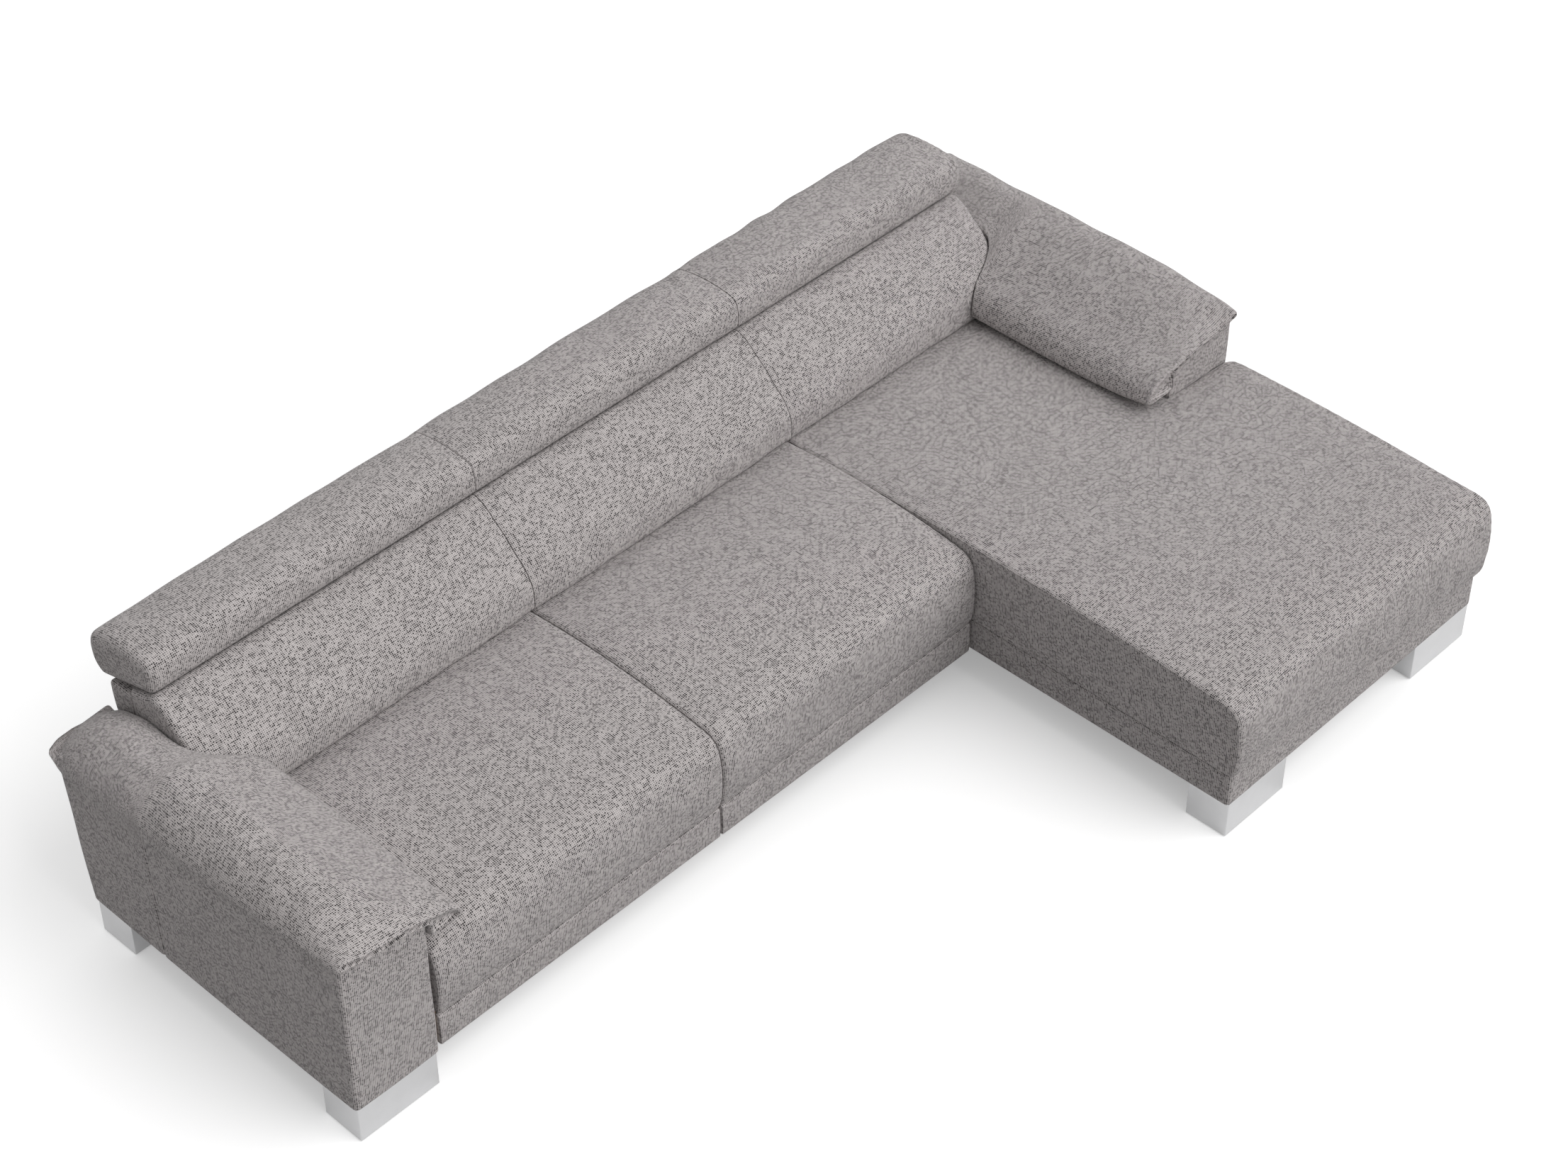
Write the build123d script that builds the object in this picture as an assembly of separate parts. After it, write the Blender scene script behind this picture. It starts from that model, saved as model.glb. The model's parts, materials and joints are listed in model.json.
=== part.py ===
from build123d import *
import math
import os

os.makedirs("parts", exist_ok=True)

# Corner sofa in millimetres: +X along the back towards the chaise, +Y to the rear, +Z up.
# The origin is on the floor, under the middle of the sofa's box.

# Widths along X
arm_width = 226  # upholstered arm body
arm_lip = 12  # arm pad standing out past the arm's outer side
arm_gap = 12  # arm to the first seat
seat_width = 826  # each of the two sofa seats
chaise_width = 935  # base of the chaise
module_gap = 8  # between neighbouring seats
chaise_step = 15  # right arm's outer side past the chaise base
chaise_overhang = 18  # chaise cushion past the right side of its base
back_over_arm = 58  # how far the back reaches out over each arm

# Depths along Y
chaise_depth = 1623  # plinth front to base rear on the chaise
seat_depth = 863  # plinth front to base rear on the two seats
front_overhang = 5  # seat cushion past its plinth, before its bulge
front_bulge = 8  # swell of a cushion's front face
left_arm_front = 11  # left arm's front ahead of the seats' plinth
right_arm_front = 17  # right arm's front behind the seats' plinth
back_depth = 286  # base rear to the front of a back cushion's foot

# Heights along Z
foot_height = 102
plinth_height = 84
seat_edge = 208  # seat cushion at its front edge
seat_rear_rise = 10  # rear of the seat cushion above its front edge
seat_crown = 18
side_crown = 6  # extra swell in the middle of a soft piece's width
back_height = 399  # back frame above the base

# Walls and small clearances
plinth_thick = 16
rail_thick = 28
post_width = 30
post_depth = 60
rail_height = 45  # rails of the back frame
panel_thick = 15
strap_thick = 1.8
cover_thick = 12
board_thick = 16
rest_gap = 0.3  # soft pieces that lie on or against another
room = 3  # soft pieces that are cut round another
back_lean = 5.95  # degrees

# Arms and their pads
arm_outer_rise = 344  # arm body above the base, at its outer side
arm_inner_rise = 292
arm_rear_inset = 12  # arm's rear in front of the back's
pad_rise = 80  # crown of the pad above the arm body
pad_reach = 79  # pad past the arm body's inner side
pad_front = 11  # pad past the arm's front
pad_rear = 25  # pad past the arm's rear
pad_drape = 75  # pad down the outer side at the rear

# Headrest and its ratchet hinge, measured from the hinge pin
pin_ahead = 86  # pin in front of the base rear
pin_rise = 83  # pin above the back frame
nose = 28  # rounded front edge about the pin
headrest_depth = 210
headrest_rise = 64  # top of the headrest above the pin
under_slope = -0.297  # underside falls to the rear
headrest_board = 12
hinge_inset = 170  # hinge from the end of the headrest
plate = 3  # hinge sheet metal
plate_gap = 0.4
pin_radius = 4
pin_clearance = 0.05
tooth_root = 14.5
tooth_tip = 16
tooth_pitch = 8  # degrees
tooth_start = 45  # degrees from level, to the rear
tooth_count = 11
pin_head = 2
pawl_reach = 20
hinge_flange = 28
headrest_gap = 4  # end of a headrest from its share of the back
board_end = 48  # end of a headrest board from the end of its back

# Feet and legs
foot_width = 214
foot_depth = 112
foot_inset = 4
foot_wall = 2.5
glide = 3
bolt_radius = 4
bolt_head = 7
bolt_clearance = 0.3
bolt_spacing = 80
bolt_depth = 40
leg_radius = 22
leg_setback = 180  # hidden legs from the seats' front and rear
hook_setback = 250
hook_half = 25

# Seat springs and webbing
spring_wire = 3.5
spring_half = 26
spring_pitch = 46
spring_drop = 12  # spring wire below the top of the rails
clip_length = 14
clip_half = 11
clip_wall = 5
clip_clearance = 0.2
cloth_thick = 1.2
cloth_hem = 8  # dust cover drawn in from the rails' outer faces
seat_springs = 5
chaise_springs = 9
strap_height = 50
straps = 3

# Layout worked out from the sizes above
overall_width = (
    2 * arm_lip + arm_width + arm_gap + 2 * (seat_width + module_gap) + chaise_width + chaise_step
)
overall_depth = front_overhang + front_bulge + chaise_depth - pin_ahead - nose + headrest_depth
arm_out = overall_width / 2 - arm_lip
arm_in = arm_out - arm_width
left_x = arm_gap - arm_in
middle_x = left_x + seat_width + module_gap
chaise_x = middle_x + seat_width + module_gap
chaise_end = chaise_x + chaise_width
back_end = arm_in + back_over_arm
chaise_front = front_overhang + front_bulge - overall_depth / 2
base_rear = chaise_front + chaise_depth
seat_front = base_rear - seat_depth
deck = foot_height + plinth_height
seat_top = deck + seat_edge
seat_rear_top = seat_top + seat_rear_rise
back_top = deck + back_height
pin_y = base_rear - pin_ahead
pin_z = back_top + pin_rise
back_foot = base_rear - back_depth
frame_inset = panel_thick + post_depth
over_arm = deck + arm_outer_rise - 24  # lowest part of the back above an arm body

left_front = seat_front - left_arm_front
right_front = seat_front + right_arm_front


def lean(z, inset):
    """Y of a plane that leans with the back, so far in front of its rear face, at height z."""
    return base_rear + (z - foot_height) * math.tan(math.radians(back_lean)) - inset


def under(dy):
    """Height of the headrest's underside above the pin, so far behind the pin."""
    return under_slope * dy - nose


def about_pin(points):
    """Points given from the hinge pin, in the part's own Y and Z."""
    return [(pin_y + p[0], pin_z + p[1], *p[2:]) for p in points]


def polar(radius, degrees):
    """A point at a radius and angle from the hinge pin."""
    angle = math.radians(degrees)
    return (radius * math.cos(angle), radius * math.sin(angle))


def side_plane(x):
    """Plane across the sofa: local axes are Y and Z."""
    return Plane(origin=(x, 0, 0), x_dir=(0, 1, 0), z_dir=(1, 0, 0))


def front_plane(y):
    """Plane along the sofa: local axes are X and Z."""
    return Plane(origin=(0, y, 0), x_dir=(1, 0, 0), z_dir=(0, -1, 0))


def outline(plane, points):
    """Closed face through points; a third number is the outward swell of the edge that follows."""
    pairs = list(zip(points, points[1:] + points[:1]))
    area = sum(here[0] * after[1] - after[0] * here[1] for here, after in pairs)
    edges = []
    for here, after in pairs:
        swell = here[2] if len(here) > 2 else 0
        if swell:
            edges.append(SagittaArc(here[:2], after[:2], math.copysign(swell, -area)))
        else:
            edges.append(Line(here[:2], after[:2]))
    return plane * make_face(edges)


def block(x0, x1, y0, y1, z0, z1):
    """Box between two corners."""
    return Pos((x0 + x1) / 2, (y0 + y1) / 2, (z0 + z1) / 2) * Box(x1 - x0, y1 - y0, z1 - z0)


def across(points, x0, x1):
    """Prism of a Y-Z outline between two X."""
    return extrude(outline(side_plane(x0), points), amount=x1 - x0, dir=(1, 0, 0))


def leaning(inset_front, inset_rear, z0, z1, x0, x1):
    """Board that leans with the back, between two insets from its rear face."""
    points = [
        (lean(z0, inset_front), z0),
        (lean(z0, inset_rear), z0),
        (lean(z1, inset_rear), z1),
        (lean(z1, inset_front), z1),
    ]
    return across(points, x0, x1)


def rod(radius, start, end):
    """Round bar from one point to another along X or Z."""
    direction = Vector(*end) - Vector(*start)
    spot = Plane(origin=start, z_dir=direction)
    return extrude(spot * Circle(radius), amount=direction.length, dir=direction)


def save(name, *solids):
    """One file for a node, with its solids apart."""
    export_step(Compound(list(solids)), f"parts/{name}.step")


# Soft forms


def along(x0, x1, section, round_end):
    """Loft along X through a section drawn in at both ends and crowned in the middle."""
    steps = [(0, round_end, 0), (9, 0.36 * round_end, 0), (34, 0.04 * round_end, 0.3)]
    stops = [(x0 + step, draw, lift) for step, draw, lift in steps]
    stops.append(((x0 + x1) / 2, 0, 1))
    stops += [(x1 - step, draw, lift) for step, draw, lift in reversed(steps)]
    sections = [outline(side_plane(x), section(draw, lift * side_crown)) for x, draw, lift in stops]
    return loft(sections, ruled=True)


def seat_section(front, rear):
    """Seat cushion from the side: swollen front, rounded edge, crowned top, flat rear under the back."""

    def section(draw, lift):
        f = front + 0.6 * draw
        low = deck + rest_gap + 0.4 * draw
        edge = seat_top - draw
        back = seat_rear_top - draw + 0.4 * lift
        return [
            (f + 12, low),
            (rear - 8, low, 2.3),
            (rear, low + 8),
            (rear, back - 14, 4.1),
            (rear - 14, back),
            (back_foot, back, seat_crown + lift),
            (f + 40, edge, 12.6),
            (f, edge - 46, front_bulge),
            (f, low + 14, 3.8),
        ]

    return section


def seat_cushion(x0, x1, front, round_end):
    rear = lean(deck, frame_inset + strap_thick) - room
    return along(x0, x1, seat_section(front - front_overhang, rear), round_end)


def back_section(draw, lift):
    """Back cushion from the side: upright foot, slope up to the crease, tail under the headrest."""
    out = lift - 0.8 * draw
    low = seat_rear_top + 0.4 * side_crown + rest_gap
    rear = frame_inset + strap_thick + rest_gap
    tail = pin_z + under(50) - 10
    return [
        (back_foot + 10, low),
        (lean(low, rear), low),
        (lean(tail, rear), tail),
        (pin_y, pin_z - nose - 8, 3),
        (pin_y - 24, pin_z - nose - 2, 1),
        (pin_y - 42, pin_z - nose - 5 + 0.3 * out, 3),
        (pin_y - 80 - 0.6 * out, pin_z - 62 + 0.8 * out, 4),
        (pin_y - 144 - 0.75 * out, pin_z - 123 + 0.66 * out, 9),
        (back_foot - out, low + 60, 1),
        (back_foot - out, low + 12, 3.5),
    ]


def back_cushion(x0, x1, hinges):
    """Back cushion, cut clear of the arm bodies and of the hinges under the headrest."""
    solid = along(x0, x1, back_section, 14)
    for x in hinges:
        solid -= block(x - 12, x + 12, pin_y - 24, base_rear, pin_z - 110, pin_z)
    for side in (-1, 1):
        if max(side * x0, side * x1) > arm_in:
            ends = sorted((side * (arm_in - room), side * (back_end + room)))
            solid -= block(*ends, 0, overall_depth, deck, over_arm)
    return solid


def headrest_section(draw, lift):
    """Headrest from the side: nose round the pin, crowned top, rounded rear, sloping underside."""
    rear = headrest_depth - nose
    middle = (rear - nose) / 2
    points = [
        (0, -nose, 0.293 * nose),
        (-nose, 0, 1),
        (2 - nose, headrest_rise - 26, 7),
        (0, headrest_rise + lift, 8),
        (rear - 36, headrest_rise - 10 + lift, 8),
        (rear, 22),
        (rear, -14, 10),
        (rear - 42, under(rear - 42)),
    ]
    keep = 1 - draw / (headrest_depth / 2)
    return about_pin([(middle + keep * (p[0] - middle), keep * p[1], *p[2:]) for p in points])


def hinge_slot(x):
    """Room in the headrest for a hinge and for its base as the headrest tilts."""
    tail = 126
    cut = [(4 - nose, 0), (4 - nose, -45), (tail, under(tail) - 6), (tail, under(tail) + 16), (18, 22)]
    wide = plate + 7
    return across(about_pin(cut), x - wide, x + wide) + pin_rod(pawl_reach + 2, x - wide, x + wide)


def board_outline(clear):
    """Headrest board from the side: its lower face lies in the headrest's underside."""
    front, rear, up = 22 - clear, 130 + clear, headrest_board + clear
    tilt = math.atan(under_slope)
    rise = (-up * math.sin(tilt), up * math.cos(tilt))
    return about_pin(
        [
            (front, under(front)),
            (rear, under(rear)),
            (rear + rise[0], under(rear) + rise[1]),
            (front + rise[0], under(front) + rise[1]),
        ]
    )


# Arms


def arm_body(side, front, low, inset):
    """Arm body drawn in by an inset: upright front, leaning rear, top falling inwards."""
    top = deck + arm_outer_rise
    rear = inset + arm_rear_inset
    points = [
        (front + inset, low),
        (lean(low, rear), low),
        (lean(top, rear), top),
        (front + inset, top),
    ]
    ends = sorted((side * (arm_out - inset), side * (arm_in + inset)))
    roof = [
        (side * arm_out, deck + arm_outer_rise - inset),
        (side * arm_in, deck + arm_inner_rise - inset),
        (side * arm_in, 2 * top),
        (side * arm_out, 2 * top),
    ]
    above = extrude(outline(front_plane(overall_depth), roof), amount=2 * overall_depth, dir=(0, -1, 0))
    return across(points, *ends) - above


def arm_frame(side, front, low, feet):
    """Carcass of boards inside the arm's cover: outer, inner, front, rear, top and floor."""
    step = cover_thick + board_thick
    far = overall_width
    hollow = arm_body(side, front, low, step)
    shell = arm_body(side, front, low, cover_thick) - hollow
    between = sorted((side * (arm_out - step), side * (arm_in + step)))
    rear = leaning(
        step + arm_rear_inset, cover_thick + arm_rear_inset, low, deck + arm_outer_rise, *between
    )
    core = shell & block(*between, front + step, far, 0, far)
    boards = [
        shell & block(*sorted((side * (arm_out - step), side * far)), -far, far, 0, far),
        shell & block(*sorted((side * (arm_in + step), 0)), -far, far, 0, far),
        shell & block(*between, -far, front + step, 0, far),
        core & rear,
        core - rear,
    ]
    floor = hollow & block(-far, far, -far, far, low, low + board_thick)
    for x, y in [spot for foot in feet for spot in bolt_spots(foot)]:
        floor -= rod(bolt_radius + bolt_clearance, (x, y, low - 1), (x, y, deck))
    return [solid for board in (*boards, floor) for solid in board.solids()]


def arm_cover(side, front, low):
    """Padded cover round the carcass, open at the bottom."""
    cover = arm_body(side, front, low, 0)
    cover = fillet(cover.edges().filter_by(Axis.Z), cover_thick)
    return cover - arm_body(side, front, low, cover_thick)


def pad_section(side, thick, drape, drop):
    """Pad across the arm: outer lip, crown, slope to the seat. Thick is 0 at the front lip, then 1."""
    outer, inner = deck + arm_outer_rise, deck + arm_inner_rise
    reach = arm_width + pad_reach
    foot = (seat_top + seat_rear_top) / 2 + seat_crown + side_crown + room

    def mix(lip, full):
        return lip + thick * (full - lip)

    shape = [
        (-1, outer - drape),
        (1 - arm_lip, outer + 3 - drape, 1),
        (mix(1, 0) - arm_lip, mix(outer + 18, outer + 26) - drop, mix(2, 8)),
        (mix(0, 12), mix(outer + 24, outer + 56) - drop, 2),
        (60, mix(outer + 14, outer + pad_rise - 14) - drop, mix(1, 6)),
        (160, mix(outer - 6, outer + pad_rise - 42) - drop, mix(1, 3)),
        (reach - 55, mix(inner + 20, inner + pad_rise - 24) - drop, mix(2, 7)),
        (reach - 6, mix(inner + 6, inner + 12) - drop, mix(2, 4)),
        (reach - 1, mix(inner - 16, foot + 8), 3),
        (reach - 16, mix(inner - 22, foot)),
        (arm_width + 1, mix(inner - 14, foot)),
        (arm_width + 1, inner + 1),
        (-1, outer + 1),
    ]
    return [(side * (arm_out - p[0]), *p[1:]) for p in shape]


def arm_pad(side, front):
    """Pad lofted from its thin front lip to its rear, then cut round the back."""
    rear = lean(deck + arm_outer_rise, arm_rear_inset) + pad_rear
    length = rear - front
    stops = [
        (front - pad_front, 0, 0, 0),
        (front + 12, 0.5, 0, 0),
        (front + 60, 0.9, 4, 0),
        (front + 0.3 * length, 1, 0.3 * pad_drape, 0),
        (front + 0.7 * length, 1, 0.9 * pad_drape, 0),
        (rear - 45, 0.97, pad_drape, 3),
        (rear - 12, 0.8, pad_drape, 12),
        (rear, 0.55, 0.8 * pad_drape, 24),
    ]
    solid = loft([outline(front_plane(y), pad_section(side, *form)) for y, *form in stops], ruled=True)
    ends = sorted((side * (back_end + room), side * (arm_in - 2 * pad_reach)))
    solid -= across(back_section(0, side_crown + room), *ends)
    return solid - block(*ends, back_foot + back_depth / 4, overall_depth, 0, pin_z)


# Feet: low X and low Y of each one

arm_foot_x = foot_inset - arm_out
rear_foot_y = base_rear - arm_rear_inset - foot_inset - foot_depth
chaise_foot_x = chaise_end - foot_inset - foot_width
FEET = {
    "left_front_foot": (arm_foot_x, left_front + foot_inset),
    "left_rear_foot": (arm_foot_x, rear_foot_y),
    "chaise_left_foot": (chaise_x + foot_inset, chaise_front + foot_inset),
    "chaise_right_foot": (chaise_foot_x, chaise_front + foot_inset),
    "chaise_rear_foot": (chaise_foot_x, rear_foot_y),
}
ARM_FEET = [FEET["left_front_foot"], FEET["left_rear_foot"]]
CHAISE_FEET = [FEET[name] for name in FEET if name.startswith("chaise")]


def bolt_spots(foot):
    """Centres of a foot's two bolts, over its middle."""
    x, y = foot[0] + foot_width / 2, foot[1] + foot_depth / 2
    return [(x - bolt_spacing / 2, y), (x + bolt_spacing / 2, y)]


def foot_block(foot):
    """Open-topped block of bright sheet with a boss for each bolt."""
    x, y = foot
    solid = block(x, x + foot_width, y, y + foot_depth, glide, foot_height)
    solid = fillet(solid.edges().filter_by(Axis.Z), foot_wall / 2)
    low_x, high_x = x + foot_wall, x + foot_width - foot_wall
    low_y, high_y = y + foot_wall, y + foot_depth - foot_wall
    solid -= block(low_x, high_x, low_y, high_y, glide + foot_wall, 2 * foot_height)
    for bx, by in bolt_spots(foot):
        solid += rod(bolt_head + 3, (bx, by, glide + foot_wall), (bx, by, foot_height))
        bottom = foot_height - bolt_depth - 2
        solid -= rod(bolt_radius + bolt_clearance, (bx, by, bottom), (bx, by, 2 * foot_height))
    return solid


def foot_bolt(x, y):
    """Bolt down through the board above a foot."""
    seat = foot_height + board_thick
    shank = rod(bolt_radius, (x, y, foot_height - bolt_depth), (x, y, seat))
    return shank + rod(bolt_head, (x, y, seat), (x, y, seat + bolt_radius))


def foot_glide(foot):
    """Felt under a foot, drawn in from its edges."""
    x, y = foot
    edge = foot_inset
    return block(x + edge, x + foot_width - edge, y + edge, y + foot_depth - edge, 0, glide)


# Base of a seat


def rails(x0, x1, front, feet):
    """Box of rails: front, leaning rear and two sides, with a bored plate over each foot."""
    inner = front + rail_thick
    rear = panel_thick + rail_thick
    side = [
        (inner, foot_height),
        (lean(foot_height, rear), foot_height),
        (lean(deck, rear), deck),
        (inner, deck),
    ]
    pieces = [
        block(x0, x1, front, inner, foot_height, deck),
        leaning(rear, panel_thick, foot_height, deck, x0, x1),
        across(side, x0, x0 + rail_thick),
        across(side, x1 - rail_thick, x1),
    ]
    for foot in feet:
        solid = foot_board(x0, x1, front, foot)
        for x, y in bolt_spots(foot):
            solid -= rod(bolt_radius + bolt_clearance, (x, y, 0), (x, y, deck))
        pieces.append(solid)
    return pieces


def foot_board(x0, x1, front, foot):
    """Board in a corner of the rails that a foot is bolted to."""
    low_x = max(foot[0], x0 + rail_thick)
    high_x = min(foot[0] + foot_width, x1 - rail_thick)
    low_y = max(foot[1], front + rail_thick)
    high_y = min(foot[1] + foot_depth + board_thick, lean(foot_height, panel_thick + rail_thick))
    return block(low_x, high_x, low_y, high_y, foot_height, foot_height + board_thick)


def dust_cover(x0, x1, front, feet, legs):
    """Cloth sheet under the rails, cut round the feet and the hidden legs."""
    rear = lean(foot_height, panel_thick + cloth_hem)
    low = foot_height - cloth_thick
    sheet = block(x0 + cloth_hem, x1 - cloth_hem, front + cloth_hem, rear, low, foot_height)
    for x, y in feet:
        sheet -= block(x - 1, x + foot_width + 1, y - 1, y + foot_depth + 1, 0, deck)
    for x, y in legs:
        sheet -= rod(leg_radius + 1, (x, y, 0), (x, y, deck))
    return sheet


def spring(low, high, centre, crosswise):
    """Flat zigzag spring of square wire between two rails, along Y or crosswise along X."""
    count = int((high - low - 2 * clip_length) // spring_pitch)
    first = (low + high - count * spring_pitch) / 2
    sides = [0] + [spring_half * (-1) ** i for i in range(count)] + [0]
    line = [(0, low)]
    for i in range(count + 1):
        place = first + i * spring_pitch
        line += [(sides[i], place), (sides[i + 1], place)]
    line.append((0, high))
    steps = [(b[0] - a[0], b[1] - a[1]) for a, b in zip(line, line[1:])]
    normals = [(-1 if dy > 0 else 0, (dx > 0) - (dx < 0)) for dx, dy in steps]
    half = spring_wire / 2
    left, right = [], []
    for i, (u, v) in enumerate(line):
        meet = normals[max(i - 1, 0) : i + 1]
        du = half * sum(n[0] for n in meet)
        dv = half * sum(n[1] for n in meet)
        left.append((u + du, v + dv))
        right.append((u - du, v - dv))
    points = [(v, centre + u) if crosswise else (centre + u, v) for u, v in left + right[::-1]]
    flat = outline(Plane(origin=(0, 0, deck - spring_drop)), points)
    return extrude(flat, amount=spring_wire, dir=(0, 0, 1))


def spring_clip(low, high, centre, crosswise):
    """Moulded block on a rail, slotted for the end of a spring."""
    middle = deck - spring_drop + spring_wire / 2
    slot = spring_wire / 2 + clip_clearance
    solids = []
    for over, half, rise in ((0, clip_half, slot + clip_wall), (1, slot, slot)):
        length, width = (low - over, high + over), (centre - half, centre + half)
        ends = length + width if crosswise else width + length
        solids.append(block(*ends, middle - rise, middle + rise))
    return solids[0] - solids[1]


def spread(low, high, count):
    """Evenly spaced places between two ends."""
    return [low + (high - low) * (i + 0.5) / count for i in range(count)]


def front_plinth(x0, x1, front):
    """Padded strip along the front of the base, with rounded edges."""
    soft = plinth_thick / 2
    rear = front + plinth_thick
    points = [
        (front + soft, foot_height),
        (rear, foot_height),
        (rear, deck),
        (front + soft, deck, 0.293 * soft),
        (front, deck - soft),
        (front, foot_height + soft, 0.293 * soft),
    ]
    return across(points, x0, x1)


def side_plinth(x0, x1, front, rear_inset):
    """Padded strip along a side of the base, from its front strip to its leaning rear."""
    start = front + plinth_thick
    points = [
        (start, foot_height),
        (lean(foot_height, rear_inset), foot_height),
        (lean(deck, rear_inset), deck),
        (start, deck),
    ]
    return across(points, x0, x1)


def support_leg(x, y):
    """Hidden tapered leg under a side rail."""
    return Pos(x, y, foot_height / 2) * Cone(0.8 * leg_radius, leg_radius, foot_height)


# Hooks between the seats: a hook on one side rail holds a catch on the next, inside the gap


def seat_hook(x, y):
    """Plate with a lip and a tongue turned up."""
    sheet = module_gap / 4
    z = (foot_height + deck) / 2
    tongue = module_gap / 2
    return (
        block(x, x + sheet, y - hook_half, y + hook_half, z - 22, z + 18)
        + block(x, x + tongue + 1.5, y - hook_half, y + hook_half, z - 6, z - 3.5)
        + block(x + tongue, x + tongue + 1.5, y - hook_half, y + hook_half, z - 6, z + 9)
    )


def seat_catch(x, y):
    """Plate with a lip and a tongue turned down behind the hook's."""
    sheet = module_gap / 4
    z = (foot_height + deck) / 2
    tongue = sheet + rest_gap
    right = x + module_gap
    return (
        block(right - sheet, right, y - hook_half, y + hook_half, z - 22, z + 18)
        + block(x + tongue, right, y - hook_half, y + hook_half, z + 12, z + 14.5)
        + block(x + tongue, x + tongue + 1.4, y - hook_half, y + hook_half, z, z + 14.5)
    )


# Back of a seat


def back_frame(x0, x1):
    """Two leaning posts on the base, with a top rail and a lower rail between them."""
    posts = [(x0, x0 + post_width), (x1 - post_width, x1)]
    pieces = [leaning(frame_inset, panel_thick, deck, back_top, *ends) for ends in posts]
    for low, high in [(back_top - rail_height, back_top), (deck + rail_height, deck + 2 * rail_height)]:
        pieces.append(leaning(frame_inset, panel_thick, low, high, x0 + post_width, x1 - post_width))
    return pieces


def back_straps(x0, x1):
    """Webbing stretched across the front of the posts."""
    places = spread(deck + 2 * rail_height, back_top, straps)
    half = strap_height / 2
    return [leaning(frame_inset + strap_thick, frame_inset, z - half, z + half, x0, x1) for z in places]


def rear_panel(x0, x1):
    """Upholstered panel over the rear of the base and back."""
    return leaning(panel_thick, 0, foot_height, back_top + rest_gap, x0, x1)


def back_cheek(side):
    """Upholstered end of the back where it stands out over an arm."""
    ends = sorted((side * (arm_in - arm_gap), side * back_end))
    return leaning(frame_inset, 0, over_arm, back_top + rest_gap, *ends)


# Ratchet hinge of a headrest


def pin_rod(radius, x0, x1):
    """Round bar about the hinge pin's axis."""
    return rod(radius, (x0, pin_y, pin_z), (x1, pin_y, pin_z))


def hinge_base(x):
    """Plate on the back's top rail: flange, stem and a disc with ratchet teeth round the pin."""
    floor = -pin_rise
    reach = lean(back_top, frame_inset) - pin_y
    stem = [
        (-6, -5),
        (reach, floor + 2),
        (reach, floor),
        (reach + 44, floor),
        (reach + 44, floor + plate),
        (reach + 24, floor + 7),
        (reach + 12, floor + 12),
        (6, 5),
    ]
    teeth = [(0, 0)]
    for i in range(tooth_count):
        angle = tooth_start + i * tooth_pitch
        teeth += [polar(tooth_root, angle), polar(tooth_tip, angle + 1)]
    teeth.append(polar(tooth_root, tooth_start + tooth_count * tooth_pitch))
    front = pin_y + reach + 4
    solid = across(about_pin(stem), x, x + plate)
    solid += pin_rod(tooth_root, x, x + plate)
    solid += across(about_pin(teeth), x, x + plate)
    solid += block(x, x + hinge_flange, front, front + 40, back_top, back_top + plate)
    return solid - pin_rod(pin_radius + pin_clearance / 2, x - 1, x + plate + 1)


def hinge_arm(x):
    """Plate beside the base: eye round the pin, bar to the headrest board, flange under it and a pawl."""
    outer, inner = x - plate_gap - plate, x - plate_gap
    start, end = 66, 118
    bar = [(-5, -12), (50, under(50) - plate), (end, under(end) - plate), (end, under(end) + 9), (4, 10)]
    strip = [(dy, under(dy) - drop) for dy, drop in ((start, plate), (end, plate), (end, 0), (start, 0))]
    solid = across(about_pin(bar), outer, inner)
    solid += pin_rod(tooth_root - 1, outer, inner)
    solid += across(about_pin(strip), inner - hinge_flange, inner)
    for low, far in ((tooth_root - 4, inner), (tooth_tip + plate_gap, x + plate)):
        pawl = [polar(low, 56), polar(pawl_reach, 55), polar(pawl_reach, 65), polar(low, 64)]
        solid += across(about_pin(pawl), outer, far)
    return solid - pin_rod(pin_radius + pin_clearance, outer - 1, inner + 1)


def hinge_pin(x):
    """Pin through both plates, with a head at each end."""
    left, right = x - plate - 2 * plate_gap, x + plate + plate_gap
    shank = pin_rod(pin_radius, left, right)
    heads = [pin_rod(2 * pin_radius, left - pin_head, left), pin_rod(2 * pin_radius, right, right + pin_head)]
    return shank + heads


def headrest(name, x0, x1, hinges):
    """Headrest cushion and the board let into its underside, both slotted for the hinges."""
    cushion = along(x0 + headrest_gap, x1 - headrest_gap, headrest_section, 14)
    low, high = x0 + board_end, x1 - board_end
    cushion -= across(board_outline(rest_gap), low - rest_gap, high + rest_gap)
    board = across(board_outline(0), low, high)
    for x in hinges:
        cushion -= hinge_slot(x)
        board -= hinge_slot(x)
    save(f"{name}_headrest_cushion", cushion)
    save(f"{name}_headrest_board", board)
    save(f"{name}_hinge_arms", *[hinge_arm(x) for x in hinges])
    save(f"{name}_hinge_bases", *[hinge_base(x) for x in hinges])
    save(f"{name}_hinge_pins", *[hinge_pin(x) for x in hinges])


# Each seat: its ends, the ends of its rails, of its back frame and of its back, and its plinth's front

left_end, middle_end = left_x + seat_width, middle_x + seat_width
SEATS = {
    "left": (
        (left_x, left_end),
        (-arm_in, left_end),
        (left_x, left_end),
        (-back_end, left_end),
        seat_front,
    ),
    "middle": ((middle_x, middle_end),) * 4 + (seat_front,),
    "chaise": (
        (chaise_x, chaise_end),
        (chaise_x + plinth_thick, chaise_end - plinth_thick),
        (chaise_x, arm_in - arm_gap),
        (chaise_x, back_end),
        chaise_front,
    ),
}

leg_rows = (seat_front + leg_setback, base_rear - leg_setback)
LEGS = [(x - leg_radius, y) for x in (left_end, middle_end) for y in leg_rows]
LEGS.append((chaise_x + plinth_thick + leg_radius, leg_rows[1]))

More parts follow.
